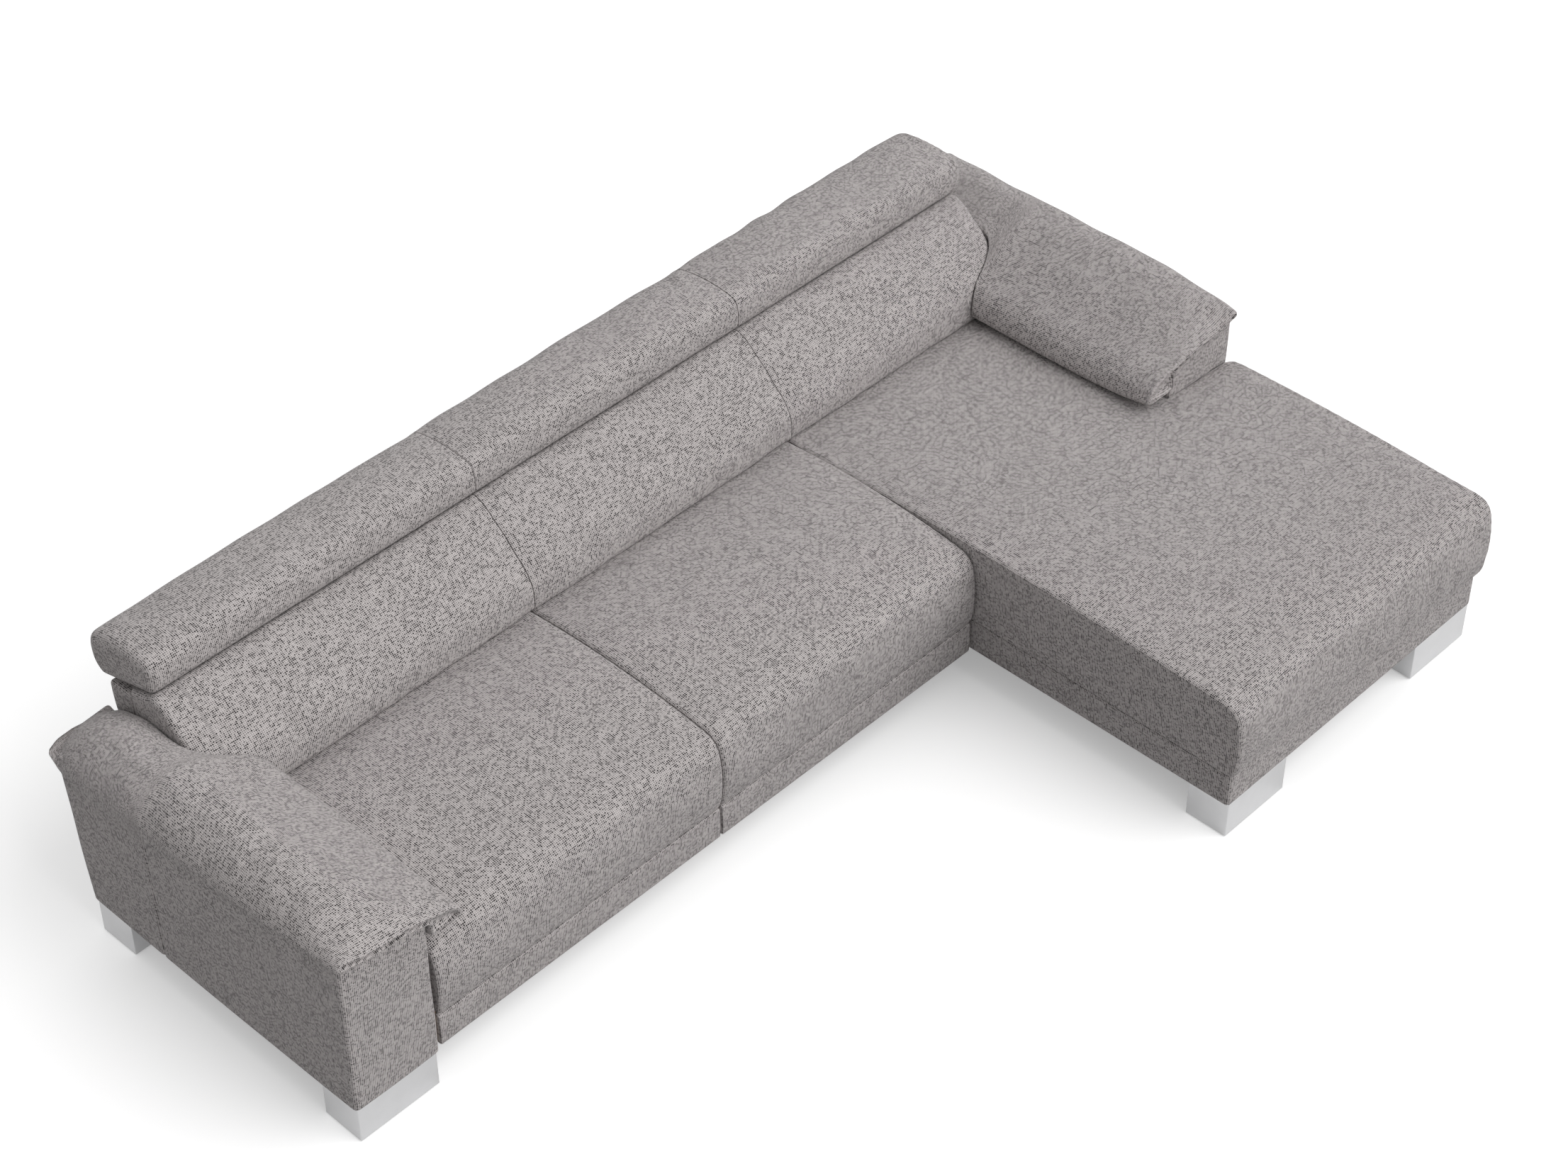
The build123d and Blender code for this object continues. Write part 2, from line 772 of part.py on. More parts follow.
clips, dust_covers = [], []
for name, (ends, rail_ends, frame_ends, back_ends, front) in SEATS.items():
    chaise = name == "chaise"
    rail_front = front + plinth_thick
    feet = CHAISE_FEET if chaise else []
    save(f"{name}_base_rails", *rails(*rail_ends, rail_front, feet))
    dust_covers.append(dust_cover(*rail_ends, rail_front, feet, LEGS))

    low, high = rail_ends[0] + rail_thick, rail_ends[1] - rail_thick
    near, far = rail_front + rail_thick, lean(deck, panel_thick + rail_thick) - room
    start, stop = (low, high) if chaise else (near, far)
    places = spread(near, far, chaise_springs) if chaise else spread(low, high, seat_springs)
    save(f"{name}_seat_springs", *[spring(start + 1, stop - 1, place, chaise) for place in places])
    for place in places:
        clips.append(spring_clip(start, start + clip_length, place, chaise))
        clips.append(spring_clip(stop - clip_length, stop, place, chaise))

    strips = [front_plinth(*ends, front)]
    if chaise:
        strips.append(side_plinth(ends[0], ends[0] + plinth_thick, front, panel_thick))
        strips.append(side_plinth(ends[1] - plinth_thick, ends[1], front, 0))
        strips.append(leaning(panel_thick, 0, foot_height, deck, frame_ends[1], ends[1] - plinth_thick))
    save(f"{name}_plinth", *strips)

    cushion_end = ends[1] + (chaise_overhang if chaise else 0)
    cushion = seat_cushion(ends[0], cushion_end, front, 20 if chaise else 14)
    if chaise:
        cushion -= block(arm_in - room, overall_width, right_front - room, overall_depth, 0, pin_z)
    save(f"{name}_seat_cushion", cushion)

    hinges = [back_ends[0] + hinge_inset, back_ends[1] - hinge_inset]
    save(f"{name}_back_frame", *back_frame(*frame_ends))
    save(f"{name}_back_straps", *back_straps(*frame_ends))
    save(f"{name}_rear_panel", rear_panel(*frame_ends))
    save(f"{name}_back_cushion", back_cushion(*back_ends, hinges))
    headrest(name, *back_ends, hinges)

save("spring_clips", *clips)
save("dust_covers", *dust_covers)

for name, side, front, low, feet in [
    ("left", -1, left_front, foot_height, ARM_FEET),
    ("right", 1, right_front, deck, []),
]:
    save(f"{name}_arm_frame", *arm_frame(side, front, low, feet))
    save(f"{name}_arm_cover", arm_cover(side, front, low))
    save(f"{name}_arm_pad", arm_pad(side, front))
    save(f"{name}_back_cheek", back_cheek(side))

for name, foot in FEET.items():
    save(name, foot_block(foot))
save("foot_bolts", *[foot_bolt(x, y) for foot in FEET.values() for x, y in bolt_spots(foot)])
save("foot_glides", *[foot_glide(foot) for foot in FEET.values()])

save("support_legs", *[support_leg(x, y) for x, y in LEGS])

hook_rows = (seat_front + hook_setback, base_rear - hook_setback)
joins = [(x, y) for x in (left_end, middle_end) for y in hook_rows]
save("seat_hooks", *[seat_hook(x, y) for x, y in joins])
save("seat_catches", *[seat_catch(x, y) for x, y in joins])
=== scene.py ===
import json
import math

import bmesh
import bpy
import numpy as np
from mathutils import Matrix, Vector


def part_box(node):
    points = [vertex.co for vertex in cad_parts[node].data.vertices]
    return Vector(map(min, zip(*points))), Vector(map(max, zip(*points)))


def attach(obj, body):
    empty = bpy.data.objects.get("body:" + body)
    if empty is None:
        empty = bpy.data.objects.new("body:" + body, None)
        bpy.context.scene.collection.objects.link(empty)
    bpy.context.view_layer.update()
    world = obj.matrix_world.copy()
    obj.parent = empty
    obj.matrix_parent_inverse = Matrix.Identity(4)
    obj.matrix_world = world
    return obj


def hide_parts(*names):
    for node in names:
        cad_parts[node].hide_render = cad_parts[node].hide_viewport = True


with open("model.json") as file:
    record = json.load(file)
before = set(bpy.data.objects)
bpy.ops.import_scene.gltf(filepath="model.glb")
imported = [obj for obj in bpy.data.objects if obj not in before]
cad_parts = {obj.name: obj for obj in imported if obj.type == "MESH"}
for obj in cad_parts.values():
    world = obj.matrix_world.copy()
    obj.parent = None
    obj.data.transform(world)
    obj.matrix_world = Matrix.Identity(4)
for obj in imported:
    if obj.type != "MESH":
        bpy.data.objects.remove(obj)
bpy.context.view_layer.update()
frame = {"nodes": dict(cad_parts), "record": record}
nodes = frame["nodes"]

# Sizes in millimetres, as in the CAD: +X along the back, +Y to the rear, +Z up.
deck, seat_top, seat_rear_top = 186, 394, 404  # top of the plinths; seats at the front and under the back
foot_height, base_rear = 102, 770  # top of the feet, and the rear face at that height
back_foot = 484  # front of the back cushions above the seats
pin_y, pin_z, nose = 684, 668, 28  # headrest pins, and the radius of the noses round them
arm_out, arm_in = 1428, 1202  # outer and inner faces of the arms
back_end = 1260  # outer ends of the back cushions
slope = math.tan(math.radians(5.95))  # lean of the rear face
under_slope = -0.297  # underside of the headrests
hem = 96  # lower edge of the covers, which turn under the rails

# How finely surfaces and cloth are cut
edge_steps = 7  # points round a rounded end
panel_steps = 12  # rows of an end panel
cloth_spacing = 24  # millimetres between the points of a coarse cloth
cloth_frames = 20
to_metres, to_mm = 0.001, 1000
tiny = 1e-9  # keeps a division off zero


def lean(z, inset):
    """Y of a plane that leans back with the back, so far in front of its rear face."""
    return base_rear + (z - foot_height) * slope - inset


def corners(node):
    """A CAD node's low and high corner in millimetres."""
    low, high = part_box(node)
    return np.array(low) * to_mm, np.array(high) * to_mm


# Curves and surfaces


def ease(t):
    """Smooth step: 3t^2 - 2t^3 with t held between 0 and 1."""
    t = np.clip(t, 0, 1)
    return t * t * (3 - 2 * t)


def bell(distance, width):
    """Gauss bell: exp(-(distance / width)^2)."""
    return np.exp(-((distance / width) ** 2))


def across(x, x0, x1):
    """Place over a piece's width: -1 at one end, 1 at the other."""
    return 2 * (x - x0) / (x1 - x0) - 1


def crown(t):
    """Fullness over a piece's width: 1 - t^4."""
    return 1 - t**4


def from_ends(x, x0, x1):
    """Distance from the nearer end of a piece."""
    return np.minimum(x - x0, x1 - x)


def drift(a, b, length, seed):
    """Slow unevenness between about -1 and 1: a sum of eight sine waves in seeded directions."""
    rng = np.random.default_rng(seed)
    total = np.zeros(np.broadcast(a, b).shape)
    for _ in range(8):
        angle, phase = rng.uniform(0, 2 * np.pi, 2)
        wave = 2 * np.pi / (length * rng.uniform(0.6, 1.6))
        total = total + np.sin(wave * (a * np.cos(angle) + b * np.sin(angle)) + phase)
    return total / 3.2


def trace(points, count, soft):
    """Closed outline: each edge runs straight, or bows outwards by its third number as 4t(1-t).
    It is cut into equal steps, then eased by repeated 1-2-1 averages to about soft millimetres."""
    p = np.array([q[:2] for q in points], float)
    bow = np.array([q[2] if len(q) > 2 else 0 for q in points], float)
    q = np.roll(p, -1, 0)
    turn = np.sign(np.sum(p[:, 0] * q[:, 1] - q[:, 0] * p[:, 1]))
    chord = q - p
    size = np.linalg.norm(chord, axis=1)[:, None] + tiny
    out = turn * np.stack([chord[:, 1], -chord[:, 0]], -1) / size
    t = np.linspace(0, 1, 40, endpoint=False)[None, :, None]
    line = p[:, None] + t * chord[:, None] + 4 * t * (1 - t) * (bow[:, None] * out)[:, None]
    line = line.reshape(-1, 2)
    loop = np.vstack([line, line[:1]])
    run = np.concatenate([[0], np.cumsum(np.linalg.norm(np.diff(loop, axis=0), axis=1))])
    at = np.linspace(0, run[-1], count, endpoint=False)
    line = np.stack([np.interp(at, run, loop[:, k]) for k in (0, 1)], -1)
    for _ in range(int(round(2 * (soft * count / run[-1]) ** 2))):
        line = (np.roll(line, 1, 0) + 2 * line + np.roll(line, -1, 0)) / 4
    return line


def outward(line):
    """Unit normals of a closed outline, pointing out of it: its tangents turned by a quarter."""
    along = np.roll(line, -1, 0) - np.roll(line, 1, 0)
    along /= np.linalg.norm(along, axis=1)[:, None] + tiny
    ahead = np.roll(line, -1, 0)
    turn = np.sign(np.sum(line[:, 0] * ahead[:, 1] - ahead[:, 0] * line[:, 1]))
    return turn * np.stack([along[:, 1], -along[:, 0]], -1)


def normals(grid):
    """Unit normals of a grid that closes on itself across, pointing out of it: the cross product of its
    steps down and across."""
    down = np.gradient(grid, axis=0)
    over = np.roll(grid, -1, 1) - np.roll(grid, 1, 1)
    n = np.cross(down, over)
    n /= np.linalg.norm(n, axis=2)[..., None] + tiny
    outside = np.sum(n * (grid - grid.mean((0, 1))))
    return n if outside > 0 else -n


def stations(low, high, edges, bulges, step):
    """Places along a sweep and the inset of the outline there: a quarter circle at each end."""
    turn = np.linspace(0, np.pi / 2, edge_steps)
    rise, inset = 1 - np.cos(turn), 1 - np.sin(turn)
    start, stop = low + bulges[0], high - bulges[1]
    inner = np.linspace(start + edges[0], stop - edges[1], max(3, int((stop - start) / step)))[1:-1]
    places = np.concatenate([start + edges[0] * rise, inner, (stop - edges[1] * rise)[::-1]])
    return places, np.concatenate([edges[0] * inset, 0 * inner, edges[1] * inset[::-1]])


def swept(low, high, section, count, soft, edges, bulges, step, axis=0):
    """Closed form: an outline carried along an axis, drawn in round both ends by a quarter circle, and
    closed by end panels that swell out by a sine of the way in. A panel's rows run from the outline to
    its spine, the line halfway between each point and the one as far round the other way.
    Returns the grid, and which of its rows of faces are end panels."""
    places, inset = stations(low, high, edges, bulges, step)
    lines = [trace(section(place), count, soft) for place in places]
    lines = np.stack([line - d * outward(line) for line, d in zip(lines, inset)])
    places = np.broadcast_to(places[:, None, None], lines.shape[:2] + (1,))
    rows = np.concatenate([places, lines], 2)
    k = np.linspace(0, 1, panel_steps)[1:, None, None]

    def panel(row, out):
        spine = (row + np.roll(row[::-1], 1, 0)) / 2
        shrunk = row[None] + k * (spine - row)[None]
        shrunk[..., 0] += out * np.sin(k[..., 0] * np.pi / 2)
        return shrunk

    grid = np.concatenate([panel(rows[0], -bulges[0])[::-1], rows, panel(rows[-1], bulges[1])])
    caps = np.zeros(len(grid) - 1, bool)
    caps[: len(k)] = caps[-len(k) :] = True
    turns = {0: (0, 1, 2), 1: (1, 0, 2), 2: (1, 2, 0)}
    return grid[..., turns[axis]], caps


def lengths(grid, caps):
    """Two weave maps of a grid. The sheet runs round the middle outline and along the sweep, where a
    row's step is one that 85 % of its points keep to. The panel is flat: the grid seen along its sweep."""
    flat = grid[~np.concatenate([caps, caps[-1:]]) | ~np.concatenate([caps[:1], caps])]
    middle = flat[len(flat) // 2]
    closed = np.vstack([middle, middle[:1]])
    v = np.concatenate([[0], np.cumsum(np.linalg.norm(np.diff(closed, axis=0), axis=1))])
    steps = np.quantile(np.linalg.norm(np.diff(grid, axis=0), axis=2), 0.85, axis=1)
    u = np.concatenate([[0], np.cumsum(steps)])
    sheet = np.stack(np.broadcast_arrays(u[:, None], v[None]), -1)
    wide = np.concatenate([grid, grid[:, :1]], 1)
    first_end = grid[: max(1, int(np.argmin(caps)))]
    sweep_axis = int(np.argmin(np.ptp(first_end, axis=(0, 1))))
    panel = wide[..., [a for a in range(3) if a != sweep_axis]]
    return sheet, panel


def skin(name, grid, caps, body, turned=False):
    """Mesh of a grid that closes across, with its ends merged, in metres, and a weave map in metres."""
    m, n = grid.shape[:2]
    i, j = np.meshgrid(np.arange(m - 1), np.arange(n), indexing="ij")
    nxt = (j + 1) % n
    faces = np.stack([i * n + j, (i + 1) * n + j, (i + 1) * n + nxt, i * n + nxt], -1).reshape(-1, 4)
    mesh = bpy.data.meshes.new(name)
    mesh.from_pydata((grid * to_metres).reshape(-1, 3), [], faces)
    both = []
    for uv in lengths(grid, caps):
        both.append(np.stack([uv[:-1, :-1], uv[1:, :-1], uv[1:, 1:], uv[:-1, 1:]], 2))
    chosen = np.where(caps[:, None, None, None], both[1], both[0])
    if turned:
        chosen = chosen[..., ::-1]
    layer = mesh.uv_layers.new(name="weave")
    layer.data.foreach_set("uv", (chosen * to_metres).reshape(-1))
    bm = bmesh.new()
    bm.from_mesh(mesh)
    bmesh.ops.remove_doubles(bm, verts=bm.verts, dist=1e-6)
    bmesh.ops.recalc_face_normals(bm, faces=bm.faces)
    bm.to_mesh(mesh)
    bm.free()
    mesh.polygons.foreach_set("use_smooth", np.ones(len(mesh.polygons), bool))
    piece = bpy.data.objects.new(name, mesh)
    bpy.context.scene.collection.objects.link(piece)
    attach(piece, body)
    return piece


# Materials


def node_maker(tree):
    """Short form for making a node. Its inputs are values, or sockets to link from."""

    def node(kind, inputs=(), **settings):
        made = tree.nodes.new(kind)
        for key, value in settings.items():
            setattr(made, key, value)
        for key, value in dict(inputs).items():
            if isinstance(value, bpy.types.NodeSocket):
                tree.links.new(value, made.inputs[key])
            else:
                made.inputs[key].default_value = value
        return made

    return node


def math_maker(node):
    """Short form of a Math node."""

    def calc(operation, a, b=0.0, c=0.0):
        return node("ShaderNodeMath", {0: a, 1: b, 2: c}, operation=operation).outputs[0]

    return calc


def blend(node, amount, first, second):
    """Colour between two others, by an amount from 0 to 1."""
    return node("ShaderNodeMix", {0: amount, 6: first, 7: second}, data_type="RGBA").outputs[2]


def new_material(name, colour, rough, metal=0.0):
    """Principled material; returns the material, its shader, its node maker and its links."""
    material = bpy.data.materials.new(name)
    material.use_nodes = True
    tree = material.node_tree
    shader = tree.nodes["Principled BSDF"]
    shader.inputs["Base Color"].default_value = (*colour, 1)
    shader.inputs["Roughness"].default_value = rough
    shader.inputs["Metallic"].default_value = metal
    return material, shader, node_maker(tree), tree.links


thread_pitch = (0.0046, 0.0041)  # metres along and across the cloth
shaded_thread, light_thread = (0.335, 0.312, 0.308, 1), (0.625, 0.583, 0.576, 1)
# painted shade: the near-black colour given to the weave's pits and dashes, standing for the shade inside
# its openings
painted_pit_shade = (0.028, 0.025, 0.025, 1)


def woven_fabric():
    """Warm grey basket weave on the piece's own map in metres: a lattice of pits between light threads,
    which wanders a little; the pits are coloured near black as painted shade. A pit opens by a chance of
    its own and in patches, and some rows open into dashes along the cloth, coloured with the same painted
    shade.
    A thread's tone changes along it and with its fibres. The bump is a product of two cosines over the
    threads, less the pits."""
    material, shader, node, link = new_material("basket weave", (0.42, 0.39, 0.385), 0.92)
    calc = math_maker(node)

    def vector(operation, inputs):
        return node("ShaderNodeVectorMath", inputs, operation=operation).outputs[0]

    def joined(x, y, z):
        return node("ShaderNodeCombineXYZ", {0: x, 1: y, 2: z}).outputs[0]

    def noise(place, scale, detail, output="Fac"):
        inputs = {"Vector": place, "Scale": scale, "Detail": detail}
        return node("ShaderNodeTexNoise", inputs).outputs[output]

    def fade(value, start, stop, first=1.0, last=0.0):
        inputs = {"Value": value, "From Min": start, "From Max": stop, "To Min": first, "To Max": last}
        return node("ShaderNodeMapRange", inputs, interpolation_type="SMOOTHSTEP").outputs[0]

    uv = node("ShaderNodeUVMap", uv_map="weave").outputs[0]
    wander = vector("SUBTRACT", {0: noise(uv, 55.0, 2.0, "Color"), 1: (0.5, 0.5, 0.5)})
    place = vector("ADD", {0: uv, 1: vector("SCALE", {0: wander, "Scale": 0.0028})})
    cells = vector("MULTIPLY", {0: place, 1: (1 / thread_pitch[0], 1 / thread_pitch[1], 1)})
    split = node("ShaderNodeSeparateXYZ", {0: cells})
    u, v = split.outputs[0], split.outputs[1]
    row = calc("FLOOR", v)
    fu, fv = calc("SUBTRACT", calc("FRACT", u), 0.5), calc("SUBTRACT", calc("FRACT", v), 0.5)
    radius = calc("SQRT", calc("ADD", calc("MULTIPLY", fu, fu), calc("MULTIPLY", fv, fv)))

    cell = joined(calc("FLOOR", u), row, 0.0)
    chance = node("ShaderNodeTexWhiteNoise", {"Vector": cell}, noise_dimensions="2D").outputs["Value"]
    patches = calc("SUBTRACT", noise(place, 110.0, 2.0), 0.4)
    open_pit = calc("MULTIPLY_ADD", calc("POWER", chance, 1.3), 0.9, patches)
    open_pit = node("ShaderNodeClamp", {"Value": open_pit, "Min": 0.0, "Max": 1.0}).outputs[0]
    size = calc("MULTIPLY_ADD", open_pit, 0.26, 0.34)
    edge = fade(radius, calc("MULTIPLY", size, 0.45), size)
    pit = calc("MULTIPLY", edge, calc("MULTIPLY_ADD", open_pit, 0.7, 0.4))

    runs = noise(joined(calc("MULTIPLY", u, 0.21), row, 3.0), 1.0, 0.0)
    runs = fade(runs, 0.64, 0.7, 0.0, 1.0)
    dash = calc("MULTIPLY", runs, fade(calc("ABSOLUTE", fv), 0.08, 0.34))
    # mask of the pits and dashes: it sets where the painted shade goes, and the bump sinks the same places
    dark = calc("MAXIMUM", pit, calc("MULTIPLY", dash, 0.95))

    yarn = noise(joined(calc("MULTIPLY", u, 0.05), calc("FLOOR", calc("ADD", v, 0.5)), 9.0), 1.0, 1.0)
    fibre = noise(place, 900.0, 2.0)
    tone = calc("ADD", calc("MULTIPLY", yarn, 0.7), calc("MULTIPLY", fibre, 0.3))
    # the threads' own tone, with painted shade over the pits and dashes
    colour = blend(node, dark, blend(node, tone, shaded_thread, light_thread), painted_pit_shade)
    link.new(colour, shader.inputs["Base Color"])

    waves = [calc("COSINE", calc("MULTIPLY", w, math.pi)) for w in (u, v)]
    height = calc("SUBTRACT", calc("MULTIPLY", calc("MULTIPLY", *waves), 0.22), dark)
    bump = node("ShaderNodeBump", {"Height": height, "Strength": 0.55, "Distance": 0.0009})
    link.new(bump.outputs[0], shader.inputs["Normal"])
    shader.inputs["Sheen Weight"].default_value = 0.12
    shader.inputs["Sheen Roughness"].default_value = 0.5
    shader.inputs["Specular IOR Level"].default_value = 0.2
    return material


fabric = woven_fabric()


def dress(piece, solid):
    """Gives a soft piece its cloth and hides the CAD solid it stands for."""
    piece.data.materials.append(fabric)
    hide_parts(solid)


# Padded pieces: cloth pass, then seams and unevenness


def vertex_array(piece, name, width):
    """A vertex property of a piece as one array."""
    data = np.empty(len(piece.data.vertices) * width, np.float32)
    piece.data.vertices.foreach_get(name, data)
    return data.reshape(-1, width).astype(float)


def blown_up(sheet, out):
    """Cloth pass on a coarse sheet of a cover, held along its border: 2 % larger than its form, it is
    blown up for twenty frames without gravity. Returns the move of each point in millimetres."""
    scene = bpy.context.scene
    m, n = sheet.shape[:2]
    first = (np.arange(m - 1)[:, None] * n + np.arange(n - 1)[None]).ravel()
    faces = np.stack([first, first + n, first + n + 1, first + 1], -1)
    facing = np.cross(sheet[1:, :-1] - sheet[:-1, :-1], sheet[:-1, 1:] - sheet[:-1, :-1])
    if np.sum(facing * out[:-1, :-1]) < 0:
        faces = faces[:, ::-1]
    mesh = bpy.data.meshes.new("cover")
    mesh.from_pydata((sheet * to_metres).reshape(-1, 3), [], faces)
    cover = bpy.data.objects.new("cover", mesh)
    scene.collection.objects.link(cover)
    border = np.ones((m, n), bool)
    border[1:-1, 1:-1] = False
    held = np.nonzero(border.ravel())[0].tolist()
    cover.vertex_groups.new(name="sewn").add(held, 1.0, "REPLACE")
    cloth = cover.modifiers.new("cloth", "CLOTH")
    rules = cloth.settings
    rules.quality = 4
    rules.mass = 0.4
    rules.tension_stiffness = rules.compression_stiffness = 18
    rules.shear_stiffness = 8
    rules.bending_stiffness = 2
    rules.use_pressure = True
    rules.uniform_pressure_force = 4
    rules.vertex_group_mass = "sewn"
    rules.shrink_min = -0.02
    rules.effector_weights.gravity = 0
    cloth.collision_settings.use_collision = False
    cloth.point_cache.frame_start, cloth.point_cache.frame_end = 1, cloth_frames
    for frame_number in range(1, cloth_frames + 1):
        scene.frame_set(frame_number)
    after = np.empty(m * n * 3, np.float32)
    shaped = cover.evaluated_get(bpy.context.evaluated_depsgraph_get())
    shaped.data.vertices.foreach_get("co", after)
    bpy.data.objects.remove(cover)
    bpy.data.meshes.remove(mesh)
    scene.frame_set(1)
    return after.reshape(m, n, 3) * to_mm - sheet


def spread(values, at, onto):
    """Values known at some rows, spread smoothly onto all rows between them by Catmull-Rom cubics."""
    k = np.clip(np.searchsorted(at, onto, side="right") - 1, 0, len(at) - 2)
    before, after = values[np.maximum(k - 1, 0)], values[np.minimum(k + 2, len(at) - 1)]
    p, q = values[k], values[k + 1]
    t = ((onto - at[k]) / (at[k + 1] - at[k]))[:, None, None]
    cubic = 3 * (p - q) + after - before
    square = 2 * before - 5 * p + 4 * q - after
    return p + t / 2 * (q - before + t * (square + t * cubic))


def settle(grid, caps, shown, most):
    """Blows up the shown side of a cover as a coarse cloth and moves the surface along with it.
    A move of length d is eased to most * d / (most + d)."""
    end = int(np.argmin(caps)) + edge_steps
    middle = grid[len(grid) // 2]
    columns = np.nonzero(shown(*middle.T))[0]
    wide = np.linalg.norm(grid[len(grid) - end - 1, columns[0]] - grid[end, columns[0]])
    long = np.linalg.norm(np.diff(middle[columns], axis=0), axis=1).sum()

    def coarse(first, last, length):
        return np.unique(np.linspace(first, last, int(length / cloth_spacing)).round().astype(int))

    rows = coarse(end, len(grid) - end - 1, wide)
    columns = coarse(columns[0], columns[-1], long)
    move = blown_up(grid[rows][:, columns], normals(grid)[rows][:, columns])
    length = np.linalg.norm(move, axis=2)[..., None]
    move = move * most / (most + length)
    for places in (rows, columns):
        move = spread(move, places, np.arange(places[0], places[-1] + 1)).swapaxes(0, 1)
    grid[rows[0] : rows[-1] + 1, columns[0] : columns[-1] + 1] += move
    return grid


def upholster(name, surface, body, solid, shown, uneven, most, turned=False):
    """A padded piece from its surface: cloth pass on the shown side, skin, then moves along its normals.
    Shown and uneven are functions of places in millimetres; most limits the cloth's moves."""
    grid, caps = surface
    piece = skin(name, settle(grid, caps, shown, most), caps, body, turned)
    place, out = vertex_array(piece, "co", 3), vertex_array(piece, "normal", 3)
    place += out * uneven(*place.T * to_mm)[:, None] * to_metres
    piece.data.vertices.foreach_set("co", place.ravel())
    piece.data.update()
    dress(piece, solid)


def seam_puckers(near, run, length, seed):
    """Puckers beside a seam: a wandering sine along it, growing over 4 mm and dying over 18 mm."""
    wander = 2 * drift(run, near, 160, seed)
    return np.sin(2 * np.pi * run / length + wander) * np.exp(-near / 18) * ease(near / 4)


# Seat cushions

seat_joint = 3.5  # how far a seat reaches beyond its solid at a joint with its neighbour
chaise_reach, chaise_lift = 9, 14  # the chaise beyond its solid at its far end, and its lift there
corner_x, corner_y, corner_round = 1394, -125, 45  # round corner of the chaise in front of the right arm
beside_arm, chaise_side = 1198, 1440  # where the chaise stops beside that arm and in front of it


def seat_points(front, rear, lift):
    """Seat from the side: swollen front, rounded front edge, crowned top, flat rear under the back."""
    low = deck + 0.5
    return [
        (front + 14, low),
        (rear - 8, low, 2),
        (rear, low + 8),
        (rear, seat_rear_top - 14, 4),
        (rear - 14, seat_rear_top + 0.4 * lift),
        (back_foot, seat_rear_top + 0.4 * lift, 15 + lift),
        (front + 44, seat_top - 1, 12),
        (front, seat_top - 50, 7),
        (front, low + 16, 4),
    ]


def shape_far_end(grid):
    """Far end of the chaise, on the grid itself: its top is eased up at the front and down at the rear,
    its side leans in by 7 mm below, and it stops at the right arm, with a quarter circle before it."""
    x, y, z = grid[..., 0], grid[..., 1], grid[..., 2]
    far = ease((x - 1000) / 430) * ease((z - 300) / 100)
    z += far * np.interp(y, [-840, -700, -100], [14, 5, -11])
    x -= 7 * ease((340 - z) / 120) * ease((x - 1300) / 100)
    past = np.clip(y - corner_y, 0, corner_round)
    corner = corner_x + np.sqrt(np.clip(corner_round**2 - past**2, 0, None))
    limit = np.where(y > corner_y + corner_round, beside_arm, np.where(y > corner_y, corner, chaise_side))
    x[:] = np.minimum(x, limit)


def seat_cushion(name, x0, x1, front, rear, count, step, far_lift, seed):
    """Seat swept along X with a crown of 6 mm over its width and sewn end panels. A far lift grows with
    the square of the way from the middle to the far end."""

    def section(x):
        t = across(x, x0, x1)
        return seat_points(front, rear, 6 * crown(t) + far_lift * max(t, 0) ** 2)

    grid, caps = swept(x0, x1, section, count, soft=9, edges=(8, 8), bulges=(0.5, 0.5), step=step)
    if far_lift:
        shape_far_end(grid)

    def shown(x, y, z):
        return (z > deck + 20) & (y < 470)

    def uneven(x, y, z):
        near, above = from_ends(x, x0, x1), ease((z - deck - 6) / 20)
        amount = 1.6 * drift(x, y + z, 210, seed) * (above * ease(near / 25))
        amount += 0.8 * seam_puckers(near, y + z, 29, seed + 1) * above
        return amount - 1.2 * bell(near - 4, 2.6)

    solid = f"{name}_seat_cushion"
    upholster(f"{name}_seat", (grid, caps), "frame", solid, shown, uneven, most=6)


# points round the outline, millimetres along, seed
seat_cuts = {"left": (320, 7, 11), "middle": (320, 7, 23), "chaise": (430, 8, 37)}
for name, (count, step, seed) in seat_cuts.items():
    low, high = corners(f"{name}_seat_cushion")
    x0 = low[0] - (0 if name == "left" else seat_joint)
    x1 = high[0] + (chaise_reach if name == "chaise" else seat_joint)
    far_lift = chaise_lift if name == "chaise" else 0
    seat_cushion(name, x0, x1, low[1] + 8, high[1], count, step, far_lift, seed)


# Back cushions

back_crown, back_soft = 6, 7
back_reach = 4  # how far the backs reach beyond their solids at the outer ends
back_edges = {-1: 14, 1: 32}  # rounding of the outer ends
back_joint, back_joint_round = 3.85, 2.4  # reach and rounding at a joint
over_arms = 509  # lowest point of the backs over the arms


def back_points(lift):
    """Back cushion from the side: upright foot, slope up to the crease, tail under the headrest."""
    low = seat_rear_top + 3
    rear = 77
    return [
        (back_foot + 10, low),
        (lean(low, rear), low),
        (lean(615, rear), 615),
        (pin_y, pin_z - nose - 8, 3),
        (pin_y - 22, pin_z - nose + 4, 1),
        (pin_y - 42, pin_z - nose - 4 + 0.3 * lift, 3),
        (pin_y - 80 - 0.6 * lift, pin_z - 62 + 0.8 * lift, 4),
        (pin_y - 144 - 0.75 * lift, pin_z - 123 + 0.66 * lift, 9),
        (back_foot - lift, low + 60, 1),
        (back_foot - lift, low + 12, 3.5),
    ]


